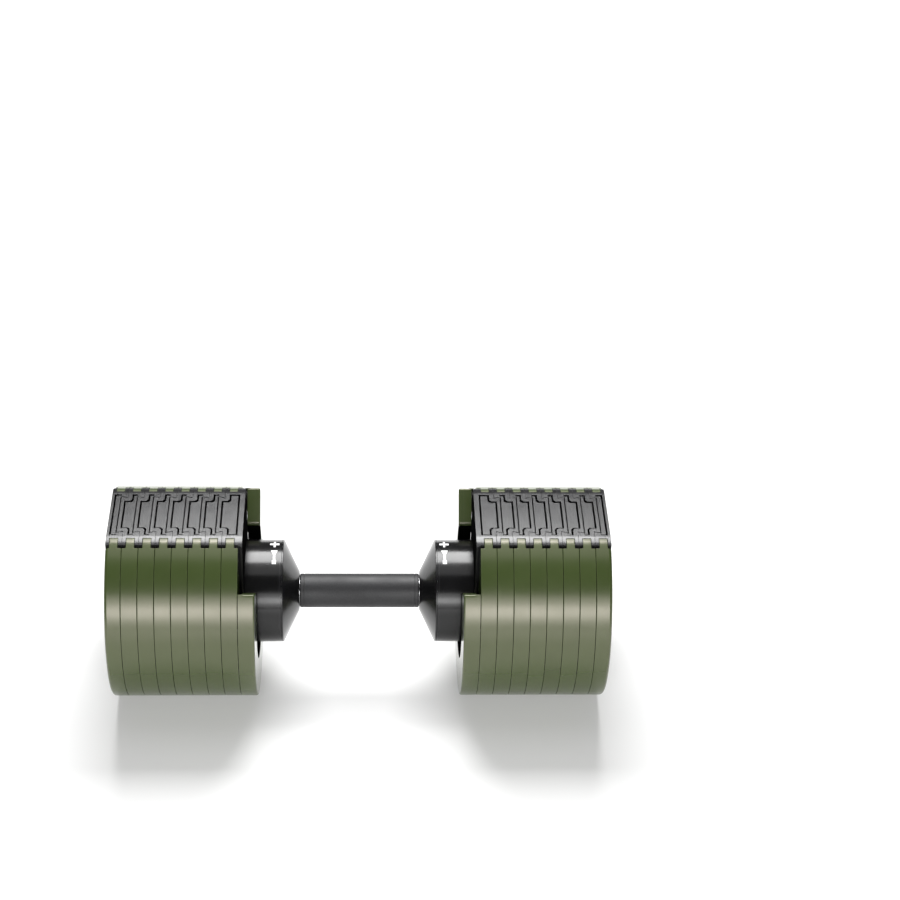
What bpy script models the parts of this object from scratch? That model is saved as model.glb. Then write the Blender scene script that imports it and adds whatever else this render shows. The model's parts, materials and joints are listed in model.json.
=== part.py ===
"""Adjustable dumbbell: a handle that turns, two housings, and eight weight plates on each side.

The handle lies along X and the object stands on Z = 0. Each side is modelled once, as the +X side
about the handle's axis. The -X side is the same meshes turned half a turn about Z. Turning the grip
turns the drive tube, whose two crossed spiral grooves slide two half-round selector bars in or out
of the plates. Each plate's hook insert hangs on the next plate by an upright dovetail.
"""

import math

import bmesh
import bpy

# Driving dimensions, in metres.
PLATE_RADIUS = 0.088
PLATE_COUNT = 8
PLATE_PITCH = 0.0134
GAP = 0.0003
FIRST_PLATE_X = 0.0983
TOP_FLAT = 0.0814
TOP_FILLET = 0.024
FOOT_HALF_WIDTH = 0.012

WEB_HALF_WIDTH = 0.0312
POCKET_HALF_WIDTH = 0.0402
FLANGE_HALF_WIDTH = 0.0376
FLANGE_THICKNESS = 0.0032
INSERT_ARC_DROP = 0.012
TONGUE_REACH = 0.0052
TONGUE_ROOT = 0.0223
TONGUE_TIP = 0.0238
TONGUE_BOTTOM = -0.026
TONGUE_START_DEPTH = 0.0014

RAIL_THICKNESS = 0.0033
RAIL_FRONT = 0.0396
RAIL_BACK = 0.0382
RAIL_BOTTOM = -0.038

CRESCENT_INNER_RADIUS = 0.056
CRESCENT_START_X = 0.0845
CRESCENT_THICKNESS = 0.0110
CRESCENT_LIP_END_X = 0.0977
CRESCENT_LIP = 0.0020
CRESCENT_HALF_OPENING = math.radians(52.3)
CRESCENT_REAR_RIM_OPENING = math.radians(47.0)
CRESCENT_REAR_BORE_OPENING = math.radians(50.5)
CRESCENT_BOSS_RADIUS = 0.005
CRESCENT_BOSS_CIRCLE = 0.072
CRESCENT_BOSS_ANGLES = (math.radians(10), math.radians(-90), math.radians(170))

HOUSING_RADIUS = 0.043
HOUSING_WALL = 0.0034
HOUSING_START_X = 0.0648
HOUSING_END_X = 0.0979
COVER_START_X = 0.0877
COVER_RADIUS = 0.0392
CHANNEL_X = 0.0947
SHOULDER_DEPTH = 0.0016
SHOULDER_LENGTH = 0.002
INSIDE_OVERLAP = 0.0005

CONE_START_X = 0.0504
CONE_SMALL_RADIUS = 0.0165
CONE_END_X = 0.0645
CONE_RIM = 0.001
CONE_BORE = 0.0129
CONE_RIM_BORE = 0.0398
CAVITY_START_X = 0.0562
CAVITY_RADIUS = 0.0202
BUSH_SEAT_RADIUS = 0.0184

GRIP_RADIUS = 0.0143
GRIP_BORE = 0.0125
GRIP_HALF_LENGTH = 0.0501

TUBE_RADIUS = 0.0122
TUBE_BORE = 0.0092
TUBE_HALF_LENGTH = 0.074
GROOVE_FLOOR = 0.0114
GROOVE_HALF_ANGLE = math.radians(18)
GROOVE_OVERRUN = math.radians(20)
GROOVE_CUTTER_BOTTOM = 0.0085

BAR_RADIUS = 0.0089
BAR_START_X = 0.059
BAR_END_X = 0.2017
BAR_FLAT_Y = 0.0003
BORE_RADIUS = 0.0093
BORE_FLAT_Y = -0.0002
LUG_X = 0.063
LUG_RADIUS = 0.0023
LUG_ROOT = 0.006
LUG_TOP = 0.0107

BUSH_RADIUS = 0.015
BUSH_START_X = 0.0525
BUSH_LENGTH = 0.0096

DISC_X = 0.070
DISC_THICKNESS = 0.004
DISC_RADIUS = 0.030
NOTCH_DEPTH = 0.001
NOTCH_HALF_ANGLE = math.radians(4)

DETENT_RADIUS = 0.0025
DETENT_TIP = 0.0304
DETENT_LENGTH = 0.0051
DETENT_POINT_RADIUS = 0.0015
DETENT_POINT_HEIGHT = 0.0006
DETENT_CONE_HEIGHT = 0.0018
DETENT_SPRING_END = 0.0393
DETENT_SPRING_RADIUS = 0.0019
DETENT_SPRING_WIRE = 0.0004
DETENT_SPRING_TURNS = 2.5
DETENT_BOSS_RADIUS = 0.0047
DETENT_BOSS_BOTTOM = 0.032
DETENT_BORE_RADIUS = 0.0029

LOCK_X = 0.0785
LOCK_RADIUS = 0.004
LOCK_BOTTOM = -0.0465
LOCK_TOP = -0.020
LOCK_COLLAR_RADIUS = 0.0062
LOCK_COLLAR_BOTTOM = -0.0387
LOCK_COLLAR_THICKNESS = 0.0015
LOCK_CHAMFER = 0.001
LOCK_SPRING_RADIUS = 0.0053
LOCK_SPRING_WIRE = 0.0005
LOCK_SPRING_TURNS = 4
BRACKET_BOTTOM = -0.026
BRACKET_TOP = -0.022
BRACKET_FOOT = -0.040
BRACKET_HALF_LENGTH = 0.006
BRACKET_HALF_WIDTH = 0.0095
BRACKET_SIDE = 0.0025

SCREW_Y = 0.027
SCREW_HEAD_RADIUS = 0.0036
SCREW_SHANK_RADIUS = 0.0017
SCREW_TIP_X = 0.080
SCREW_HEAD_LENGTH = 0.0024
SCREW_SOCKET_RADIUS = 0.0016
SCREW_SOCKET_DEPTH = 0.0015
POST_HALF_SIDE = 0.005

AXIS_Z = math.sqrt(PLATE_RADIUS**2 - FOOT_HALF_WIDTH**2)
PLATE_THICKNESS = PLATE_PITCH - GAP
BAR_TRAVEL = PLATE_COUNT * PLATE_PITCH
BEYOND = 0.02
OUTSIDE = 0.06
FINE_SIDES = 40
COARSE_SIDES = 12


# Meshes. Every one is built about the handle's axis, so the axis is Y = 0, Z = 0.


def mesh_of(bm):
    bmesh.ops.recalc_face_normals(bm, faces=bm.faces)
    mesh = bpy.data.meshes.new("shape")
    bm.to_mesh(mesh)
    bm.free()
    return mesh


def extruded(start_points, end_points):
    """A closed solid between two outlines of the same number of points."""
    bm = bmesh.new()
    start = [bm.verts.new(point) for point in start_points]
    end = [bm.verts.new(point) for point in end_points]
    bm.faces.new(start)
    bm.faces.new(end)
    for i in range(len(start)):
        j = (i + 1) % len(start)
        bm.faces.new((start[i], start[j], end[j], end[i]))
    return mesh_of(bm)


def along_x(outline, x0, x1):
    return extruded([(x0, y, z) for y, z in outline], [(x1, y, z) for y, z in outline])


def along_z(outline, z0, z1):
    return extruded([(x, y, z0) for x, y in outline], [(x, y, z1) for x, y in outline])


def block(x0, x1, y0, y1, z0, z1):
    return along_x([(y0, z0), (y1, z0), (y1, z1), (y0, z1)], x0, x1)


def arc(radius, start, end, steps, centre=(0.0, 0.0)):
    """Points from angle start to angle end, anticlockwise from +Y towards +Z."""
    points = []
    for i in range(steps + 1):
        angle = start + (end - start) * i / steps
        points.append((centre[0] + radius * math.cos(angle), centre[1] + radius * math.sin(angle)))
    return points


def circle(radius, count, centre=(0.0, 0.0)):
    """A polygon whose corners stay off the Y and Z axes, so that it never meets another's corners."""
    points = []
    for i in range(count):
        angle = 2 * math.pi * (i + 0.5) / count
        points.append((centre[0] + radius * math.cos(angle), centre[1] + radius * math.sin(angle)))
    return points


def turned(profile, segments, axis="X", offset=0.0):
    """A ring from a closed profile of (along, radius) points, or a solid bar where it meets radius 0.

    On axis Z, offset is the axis's place along X.
    """
    bm = bmesh.new()
    rings = []
    for along, radius in profile:
        count = segments if radius > 0 else 1
        ring = []
        for first, second in circle(radius, count):
            place = (along, first, second) if axis == "X" else (offset + first, second, along)
            ring.append(bm.verts.new(place))
        rings.append(ring)
    for first, second in zip(rings, rings[1:] + rings[:1]):
        for i in range(segments):
            j = (i + 1) % segments
            if len(first) == 1 and len(second) == 1:
                continue
            if len(first) == 1:
                bm.faces.new((first[0], second[i], second[j]))
            elif len(second) == 1:
                bm.faces.new((first[i], first[j], second[0]))
            else:
                bm.faces.new((first[i], first[j], second[j], second[i]))
    return mesh_of(bm)


def combined(operation, base, others):
    """The base mesh after a Boolean with each of the other meshes in turn."""
    scene = bpy.context.scene.collection
    target = bpy.data.objects.new("target", base)
    scene.objects.link(target)
    tools = []
    for mesh in others:
        tool = bpy.data.objects.new("tool", mesh)
        scene.objects.link(tool)
        tools.append(tool)
        modifier = target.modifiers.new("boolean", "BOOLEAN")
        modifier.operation = operation
        modifier.solver = "EXACT"
        modifier.object = tool
    graph = bpy.context.evaluated_depsgraph_get()
    result = bpy.data.meshes.new_from_object(target.evaluated_get(graph))
    for helper in [target] + tools:
        bpy.data.objects.remove(helper)
    return result


def joined(base, *others):
    return combined("UNION", base, others)


def cut(base, *others):
    return combined("DIFFERENCE", base, others)


def kept_inside(base, other):
    return combined("INTERSECT", base, [other])


# Outlines.


def plate_outline():
    """The plate's edge: a circle with a blended flat at the top and a narrow foot flat below."""
    corner_y = math.sqrt((PLATE_RADIUS - TOP_FILLET) ** 2 - (TOP_FLAT - TOP_FILLET) ** 2)
    corner_z = TOP_FLAT - TOP_FILLET
    blend = math.atan2(corner_z, corner_y)
    foot = math.asin(AXIS_Z / PLATE_RADIUS)
    right = arc(PLATE_RADIUS, -foot, blend, 18)
    right += arc(TOP_FILLET, blend, math.pi / 2, 3, (corner_y, corner_z))[1:]
    left = [(-y, z) for y, z in reversed(right)]
    return right + left


def slot_outline(half_width):
    """A slot open at the top, with a round bottom, that reaches above the plate."""
    top = PLATE_RADIUS + BEYOND
    bottom = arc(half_width, math.pi, 2 * math.pi, 8, (0.0, -INSERT_ARC_DROP))
    return bottom + [(half_width, top), (-half_width, top)]


def half_round(radius, flat_y):
    start = -math.acos(flat_y / radius)
    return arc(radius, start, -start, 10)


def tongue_outline(start_x, root, tip, end_x):
    return [(start_x, -root), (end_x, -tip), (end_x, tip), (start_x, root)]


# The pieces of one side, seen as the +X side.


def weight_plate_mesh():
    plate = along_x(plate_outline(), 0, PLATE_THICKNESS)
    pocket = slot_outline(POCKET_HALF_WIDTH)
    slot = slot_outline(WEB_HALF_WIDTH)
    return cut(
        plate,
        along_x(pocket, -BEYOND, FLANGE_THICKNESS),
        along_x(pocket, PLATE_THICKNESS - FLANGE_THICKNESS, PLATE_THICKNESS + BEYOND),
        along_x(slot, -BEYOND, PLATE_THICKNESS + BEYOND),
    )


def hook_insert_mesh(first, last):
    """The insert moulded round the plate's web: two flanges, a web, a tongue outside and a groove inside."""
    flange = slot_outline(FLANGE_HALF_WIDTH)
    web = slot_outline(WEB_HALF_WIDTH - GAP)
    thickness = FLANGE_THICKNESS - GAP
    shape = joined(
        along_x(web, thickness / 2, PLATE_THICKNESS - thickness / 2),
        along_x(flange, 0, thickness),
        along_x(flange, PLATE_THICKNESS - thickness, PLATE_THICKNESS),
    )
    top = PLATE_RADIUS + BEYOND
    if not last:
        start = PLATE_THICKNESS - TONGUE_START_DEPTH
        end = PLATE_THICKNESS + TONGUE_REACH
        slope = (TONGUE_TIP - TONGUE_ROOT) / TONGUE_REACH
        root = TONGUE_ROOT - slope * TONGUE_START_DEPTH
        tongue = tongue_outline(start, root, TONGUE_TIP, end)
        shape = joined(shape, along_z(tongue, TONGUE_BOTTOM, top))
    if first:
        # The rail stands clear of the steel, and a deeper inner flange carries it.
        rail = [
            (-RAIL_THICKNESS, -RAIL_FRONT),
            (-GAP, -RAIL_BACK),
            (-GAP, RAIL_BACK),
            (-RAIL_THICKNESS, RAIL_FRONT),
        ]
        carrier = along_x(flange, -RAIL_THICKNESS / 2, thickness / 2)
        shape = joined(shape, carrier, along_z(rail, RAIL_BOTTOM, top))
    shape = kept_inside(shape, along_x(plate_outline(), -BEYOND, PLATE_THICKNESS + BEYOND))
    if not first:
        slope = (TONGUE_TIP - TONGUE_ROOT) / TONGUE_REACH
        mouth = TONGUE_ROOT + GAP - slope * BEYOND
        groove = tongue_outline(-BEYOND, mouth, TONGUE_TIP + GAP, TONGUE_REACH)
        shape = cut(shape, along_z(groove, TONGUE_BOTTOM - GAP, top))
    bore_end = PLATE_THICKNESS - thickness if last else PLATE_THICKNESS + BEYOND
    return cut(shape, along_x(half_round(BORE_RADIUS, BORE_FLAT_Y), -BEYOND, bore_end))


def crescent_outline(inner, outer, inner_openings, outer_openings):
    """A ring open at the top. The openings are the angles from the top towards -Y and towards +Y."""
    top = math.pi / 2
    whole = 2 * math.pi
    outer_arc = arc(outer, top + outer_openings[0], top + whole - outer_openings[1], 30)
    return outer_arc + arc(inner, top + whole - inner_openings[1], top + inner_openings[0], 20)


def crescent_plate_mesh(inner_openings, outer_openings):
    """The C-shaped plate, whose rear arm reaches further up than its front arm."""
    body_end = CRESCENT_START_X + CRESCENT_THICKNESS
    outline = crescent_outline(CRESCENT_INNER_RADIUS, PLATE_RADIUS, inner_openings, outer_openings)
    body = along_x(outline, CRESCENT_START_X, body_end)
    lip = crescent_outline(PLATE_RADIUS - CRESCENT_LIP, PLATE_RADIUS, outer_openings, outer_openings)
    lip_start = body_end - CRESCENT_LIP
    pieces = [along_x(lip, lip_start, CRESCENT_LIP_END_X)]
    for angle in CRESCENT_BOSS_ANGLES:
        centre = (CRESCENT_BOSS_CIRCLE * math.cos(angle), CRESCENT_BOSS_CIRCLE * math.sin(angle))
        boss = circle(CRESCENT_BOSS_RADIUS, COARSE_SIDES, centre)
        pieces.append(along_x(boss, lip_start, CRESCENT_LIP_END_X + GAP / 2))
    side = 2 * PLATE_RADIUS
    below = block(0, side, -side, side, -side, -AXIS_Z)
    return cut(joined(body, *pieces), below)


def housing_mesh():
    inner = HOUSING_RADIUS - HOUSING_WALL
    shoulder = inner - SHOULDER_DEPTH
    shoulder_end = COVER_START_X - GAP
    barrel = turned(
        [
            (HOUSING_START_X, inner),
            (HOUSING_START_X, HOUSING_RADIUS),
            (HOUSING_END_X, HOUSING_RADIUS),
            (HOUSING_END_X, inner),
            (shoulder_end, inner),
            (shoulder_end, shoulder),
            (shoulder_end - SHOULDER_LENGTH, shoulder),
            (shoulder_end - SHOULDER_LENGTH, inner),
        ],
        FINE_SIDES,
    )
    wall = HOUSING_RADIUS - HOUSING_WALL / 2
    boss = [
        (DETENT_BOSS_BOTTOM, 0),
        (DETENT_BOSS_BOTTOM, DETENT_BOSS_RADIUS),
        (wall, DETENT_BOSS_RADIUS),
        (wall, 0),
    ]
    pieces = [turned(boss, COARSE_SIDES, "Z", DISC_X)]
    bracket_start = LOCK_X - BRACKET_HALF_LENGTH
    bracket_end = LOCK_X + BRACKET_HALF_LENGTH
    outer = BRACKET_HALF_WIDTH
    side = outer - BRACKET_SIDE
    leg_top = BRACKET_TOP - 2 * INSIDE_OVERLAP
    pieces.append(block(bracket_start, bracket_end, -outer, outer, BRACKET_BOTTOM, BRACKET_TOP))
    pieces.append(block(bracket_start, bracket_end, -outer, -side, BRACKET_FOOT, leg_top))
    pieces.append(block(bracket_start, bracket_end, side, outer, BRACKET_FOOT, leg_top))
    post_end = shoulder_end - INSIDE_OVERLAP
    post_y = SCREW_Y - POST_HALF_SIDE
    pieces.append(block(SCREW_TIP_X, post_end, -wall, -post_y, -POST_HALF_SIDE, POST_HALF_SIDE))
    pieces.append(block(SCREW_TIP_X, post_end, post_y, wall, -POST_HALF_SIDE, POST_HALF_SIDE))
    solid = joined(barrel, *pieces)
    channel_mouth = RAIL_BACK + GAP
    channel_floor = RAIL_FRONT + GAP
    slope = (channel_floor - channel_mouth) / (RAIL_THICKNESS + GAP)
    far_x = CHANNEL_X + BEYOND
    channel = [
        (CHANNEL_X, -channel_floor),
        (far_x, -channel_floor + slope * BEYOND),
        (far_x, channel_floor - slope * BEYOND),
        (CHANNEL_X, channel_floor),
    ]
    seat = inner + INSIDE_OVERLAP
    start = DETENT_BOSS_BOTTOM - 2 * GAP
    bore = [(start, 0), (start, DETENT_BORE_RADIUS), (seat, DETENT_BORE_RADIUS), (seat, 0)]
    hole = LOCK_RADIUS + GAP
    pin_hole = [(-OUTSIDE, 0), (-OUTSIDE, hole), (LOCK_TOP, hole), (LOCK_TOP, 0)]
    shank = SCREW_SHANK_RADIUS + GAP
    hole_start = SCREW_TIP_X - 2 * INSIDE_OVERLAP
    return cut(
        solid,
        along_z(channel, -OUTSIDE, OUTSIDE),
        turned(bore, COARSE_SIDES - 2, "Z", DISC_X),
        turned(pin_hole, COARSE_SIDES + 4, "Z", LOCK_X),
        screw_hole(-SCREW_Y, shank, hole_start, COVER_START_X),
        screw_hole(SCREW_Y, shank, hole_start, COVER_START_X),
    )


def screw_hole(y, radius, x0, x1):
    return along_x(circle(radius, COARSE_SIDES, (y, 0.0)), x0, x1)


def hub_cover_mesh():
    disc = turned(
        [(COVER_START_X, 0), (COVER_START_X, COVER_RADIUS), (CHANNEL_X, COVER_RADIUS), (CHANNEL_X, 0)],
        FINE_SIDES,
    )
    tools = [along_x(half_round(BORE_RADIUS, BORE_FLAT_Y), 0, FIRST_PLATE_X)]
    head_seat = CHANNEL_X - SCREW_HEAD_LENGTH - 2 * GAP
    for y in (-SCREW_Y, SCREW_Y):
        tools.append(screw_hole(y, SCREW_SHANK_RADIUS + GAP, 0, FIRST_PLATE_X))
        tools.append(screw_hole(y, SCREW_HEAD_RADIUS + GAP, head_seat, FIRST_PLATE_X))
    return cut(disc, *tools)


def screw_mesh():
    head_end = CHANNEL_X - GAP
    head_start = head_end - SCREW_HEAD_LENGTH
    body = turned(
        [
            (SCREW_TIP_X, 0),
            (SCREW_TIP_X, SCREW_SHANK_RADIUS),
            (head_start, SCREW_SHANK_RADIUS),
            (head_start, SCREW_HEAD_RADIUS),
            (head_end, SCREW_HEAD_RADIUS),
            (head_end, 0),
        ],
        COARSE_SIDES,
    )
    socket = circle(SCREW_SOCKET_RADIUS, 6)
    return cut(body, along_x(socket, head_end - SCREW_SOCKET_DEPTH, head_end + GAP))


def cone_flange_mesh():
    rim_x = CONE_END_X - CONE_RIM
    seat_end = BUSH_START_X + BUSH_LENGTH + GAP
    return turned(
        [
            (CONE_START_X, CONE_BORE),
            (CONE_START_X, CONE_SMALL_RADIUS),
            (rim_x, HOUSING_RADIUS),
            (CONE_END_X, HOUSING_RADIUS),
            (CONE_END_X, CONE_RIM_BORE),
            (CAVITY_START_X, CAVITY_RADIUS),
            (CAVITY_START_X, BUSH_SEAT_RADIUS),
            (seat_end, BUSH_SEAT_RADIUS),
            (seat_end, BUSH_RADIUS + GAP),
            (BUSH_START_X - GAP, BUSH_RADIUS + GAP),
            (BUSH_START_X - GAP, CONE_BORE),
        ],
        FINE_SIDES - 4,
    )


def ring_mesh(x0, x1, bore, radius, segments):
    return turned([(x0, bore), (x0, radius), (x1, radius), (x1, bore)], segments)


def index_disc_mesh():
    """A disc on the drive tube's end, with a shallow notch for each of the eight weight settings."""
    outline = []
    step = 2 * math.pi / PLATE_COUNT
    for i in range(PLATE_COUNT):
        notch = math.pi / 2 + i * step
        outline += arc(DISC_RADIUS, notch - step + NOTCH_HALF_ANGLE, notch - NOTCH_HALF_ANGLE, 4)
        floor = DISC_RADIUS - NOTCH_DEPTH
        outline.append((floor * math.cos(notch), floor * math.sin(notch)))
    x0 = DISC_X - DISC_THICKNESS / 2
    disc = along_x(outline, x0, x0 + DISC_THICKNESS)
    bore = circle(TUBE_RADIUS + GAP, 2 * COARSE_SIDES)
    return cut(disc, along_x(bore, 0, 2 * DISC_X))


def detent_plunger_mesh():
    return turned(
        [
            (DETENT_TIP, 0),
            (DETENT_TIP + DETENT_POINT_HEIGHT, DETENT_POINT_RADIUS),
            (DETENT_TIP + DETENT_CONE_HEIGHT, DETENT_RADIUS),
            (DETENT_TIP + DETENT_LENGTH, DETENT_RADIUS),
            (DETENT_TIP + DETENT_LENGTH, 0),
        ],
        COARSE_SIDES,
        "Z",
        DISC_X,
    )


def lock_plunger_mesh():
    collar_top = LOCK_COLLAR_BOTTOM + LOCK_COLLAR_THICKNESS
    return turned(
        [
            (LOCK_BOTTOM, 0),
            (LOCK_BOTTOM, LOCK_RADIUS - LOCK_CHAMFER),
            (LOCK_BOTTOM + LOCK_CHAMFER, LOCK_RADIUS),
            (LOCK_COLLAR_BOTTOM, LOCK_RADIUS),
            (LOCK_COLLAR_BOTTOM, LOCK_COLLAR_RADIUS),
            (collar_top, LOCK_COLLAR_RADIUS),
            (collar_top, LOCK_RADIUS),
            (LOCK_TOP, LOCK_RADIUS),
            (LOCK_TOP, 0),
        ],
        COARSE_SIDES + 4,
        "Z",
        LOCK_X,
    )


def spring_mesh(x, z0, z1, radius, wire, turns):
    """A round-wire coil about an upright axis, swept as a four-sided tube with closed ends."""
    steps = int(turns * 10)
    start = z0 + wire
    height = z1 - z0 - 2 * wire
    bm = bmesh.new()
    rings = []
    for i in range(steps + 1):
        angle = 2 * math.pi * turns * i / steps
        z = start + height * i / steps
        ring = []
        for corner in range(4):
            side = math.pi / 2 * corner
            reach = radius + wire * math.cos(side)
            up = z + wire * math.sin(side)
            ring.append(bm.verts.new((x + reach * math.cos(angle), reach * math.sin(angle), up)))
        rings.append(ring)
    for first, second in zip(rings, rings[1:]):
        for i in range(4):
            j = (i + 1) % 4
            bm.faces.new((first[i], first[j], second[j], second[i]))
    bm.faces.new(rings[0])
    bm.faces.new(rings[-1])
    return mesh_of(bm)


def selector_bar_mesh():
    bar = along_x(half_round(BAR_RADIUS, BAR_FLAT_Y), BAR_START_X, BAR_END_X)
    lug = circle(LUG_RADIUS, COARSE_SIDES, (LUG_X, 0.0))
    start = [(x, LUG_ROOT, z) for x, z in lug]
    end = [(x, LUG_TOP, z) for x, z in lug]
    return joined(bar, extruded(start, end))


# The handle's turning pieces.


def spiral_cutter(hand):
    """The tool for one spiral groove. hand 1 guides the +X bar, whose lug is at +Y, and -1 the other."""
    bm = bmesh.new()
    steps = 20
    sweep = 2 * math.pi + 2 * GROOVE_OVERRUN
    rings = []
    for i in range(steps + 1):
        turn = -GROOVE_OVERRUN + sweep * i / steps
        x = hand * (LUG_X - BAR_TRAVEL * turn / (2 * math.pi))
        middle = turn if hand > 0 else math.pi + turn
        ring = []
        for radius, corners in ((GROOVE_FLOOR, (-1, -0.5, 0, 0.5, 1)), (GROOVE_CUTTER_BOTTOM, (1, -1))):
            for corner in corners:
                angle = middle + GROOVE_HALF_ANGLE * corner
                place = (x, radius * math.cos(angle), radius * math.sin(angle))
                ring.append(bm.verts.new(place))
        rings.append(ring)
    for first, second in zip(rings, rings[1:]):
        for i in range(len(first)):
            j = (i + 1) % len(first)
            bm.faces.new((first[i], first[j], second[j], second[i]))
    bm.faces.new(rings[0])
    bm.faces.new(rings[-1])
    # The groove's sides twist, so they are split into flat triangles.
    bmesh.ops.triangulate(bm, faces=bm.faces)
    return mesh_of(bm)


def drive_tube_mesh():
    tube = ring_mesh(-TUBE_HALF_LENGTH, TUBE_HALF_LENGTH, TUBE_BORE, TUBE_RADIUS, 2 * COARSE_SIDES)
    return cut(tube, spiral_cutter(1), spiral_cutter(-1))


# Objects and materials.


def principled(name, colour, roughness, metallic):
    material = bpy.data.materials.new(name)
    material.use_nodes = True
    shader = material.node_tree.nodes["Principled BSDF"]
    shader.inputs["Base Color"].default_value = (*colour, 1.0)
    shader.inputs["Roughness"].default_value = roughness
    shader.inputs["Metallic"].default_value = metallic
    return material


def empty(name, parent=None, turn=0.0):
    obj = bpy.data.objects.new(name, None)
    bpy.context.scene.collection.objects.link(obj)
    obj.parent = parent
    obj.rotation_euler.z = turn
    return obj


def place(name, mesh, material, parent, x=0.0):
    """One piece. Each object has its own copy of the mesh data, so that each has its own material."""
    data = mesh.copy()
    data.name = name
    data.materials.clear()
    data.materials.append(material)
    obj = bpy.data.objects.new(name, data)
    bpy.context.scene.collection.objects.link(obj)
    obj.parent = parent
    obj.location.x = x
    data.shade_smooth()
    data.set_sharp_from_angle(angle=math.radians(30))
    return obj


def build_side(side, parent, meshes, materials):
    for i in range(PLATE_COUNT):
        number = i + 1
        x = FIRST_PLATE_X + i * PLATE_PITCH
        place(f"{side}_weight_plate_{number}", meshes["plate"], materials["green"], parent, x)
        kind = {0: "first insert", PLATE_COUNT - 1: "last insert"}.get(i, "insert")
        place(f"{side}_hook_insert_{number}", meshes[kind], materials["gray"], parent, x)
    for name, key, finish in (
        ("crescent_plate", f"{side} crescent", "green"),
        ("housing", "housing", "black"),
        ("cone_flange", "cone", "black"),
        ("hub_cover", "cover", "black"),
        ("bush", "bush", "bronze"),
        ("index_disc", "disc", "zinc"),
        ("detent_plunger", "detent", "steel"),
        ("detent_spring", "detent spring", "spring"),
        ("lock_plunger", "lock", "steel"),
        ("lock_spring", "lock spring", "spring"),
        ("selector_bar", "bar", "steel"),
    ):
        place(f"{side}_{name}", meshes[key], materials[finish], parent)
    for label, y in (("front", -SCREW_Y), ("rear", SCREW_Y)):
        # The +X side's rear is the -X side's front, because that side is turned round.
        if side == "left":
            y = -y
        screw = place(f"{side}_{label}_screw", meshes["screw"], materials["zinc"], parent)
        screw.location.y = y


def main():
    for obj in list(bpy.data.objects):
        bpy.data.objects.remove(obj)
    materials = {
        "green": principled("olive_painted_steel", (0.165, 0.215, 0.115), 0.38, 0.15),
        "gray": principled("gray_moulded_nylon", (0.17, 0.17, 0.165), 0.5, 0.0),
        "black": principled("black_moulded_nylon", (0.012, 0.012, 0.013), 0.35, 0.0),
        "rubber": principled("dark_gray_grip", (0.055, 0.055, 0.06), 0.8, 0.0),
        "steel": principled("bright_steel", (0.55, 0.55, 0.56), 0.3, 1.0),
        "spring": principled("spring_steel", (0.4, 0.4, 0.42), 0.35, 1.0),
        "zinc": principled("zinc_plated_steel", (0.62, 0.62, 0.6), 0.35, 1.0),
        "bronze": principled("sintered_bronze", (0.45, 0.3, 0.14), 0.45, 1.0),
    }
    bush_end = BUSH_START_X + BUSH_LENGTH
    collar_top = LOCK_COLLAR_BOTTOM + LOCK_COLLAR_THICKNESS
    detent_top = DETENT_TIP + DETENT_LENGTH
    bore_openings = (CRESCENT_HALF_OPENING, CRESCENT_REAR_BORE_OPENING)
    rim_openings = (CRESCENT_HALF_OPENING, CRESCENT_REAR_RIM_OPENING)
    meshes = {
        "plate": weight_plate_mesh(),
        "insert": hook_insert_mesh(False, False),
        "first insert": hook_insert_mesh(True, False),
        "last insert": hook_insert_mesh(False, True),
        "right crescent": crescent_plate_mesh(bore_openings, rim_openings),
        "left crescent": crescent_plate_mesh(bore_openings[::-1], rim_openings[::-1]),
        "housing": housing_mesh(),
        "cone": cone_flange_mesh(),
        "cover": hub_cover_mesh(),
        "bush": ring_mesh(BUSH_START_X, bush_end, TUBE_RADIUS + GAP, BUSH_RADIUS, FINE_SIDES - 8),
        "disc": index_disc_mesh(),
        "detent": detent_plunger_mesh(),
        "detent spring": spring_mesh(
            DISC_X,
            detent_top + GAP,
            DETENT_SPRING_END,
            DETENT_SPRING_RADIUS,
            DETENT_SPRING_WIRE,
            DETENT_SPRING_TURNS,
        ),
        "lock": lock_plunger_mesh(),
        "lock spring": spring_mesh(
            LOCK_X,
            collar_top + GAP,
            BRACKET_BOTTOM - GAP,
            LOCK_SPRING_RADIUS,
            LOCK_SPRING_WIRE,
            LOCK_SPRING_TURNS,
        ),
        "bar": selector_bar_mesh(),
        "screw": screw_mesh(),
    }
    handle = empty("handle_axis")
    handle.location.z = AXIS_Z
    build_side("right", empty("right_side", handle), meshes, materials)
    build_side("left", empty("left_side", handle, math.pi), meshes, materials)
    grip = ring_mesh(-GRIP_HALF_LENGTH, GRIP_HALF_LENGTH, GRIP_BORE, GRIP_RADIUS, FINE_SIDES)
    place("grip_sleeve", grip, materials["rubber"], handle)
    place("drive_tube", drive_tube_mesh(), materials["steel"], handle)


main()
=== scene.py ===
"""Looks of the adjustable dumbbell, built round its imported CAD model.

The visible pieces are modelled as the +X side's, about the handle's axis. The -X side has the same
meshes turned half a turn about Z, apart from the crescent, which is modelled for each side because its
rear arm is the longer one. The other inner works keep their CAD shape.
"""

import json
import math

import bmesh
import bpy
from mathutils import Matrix, Vector


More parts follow.
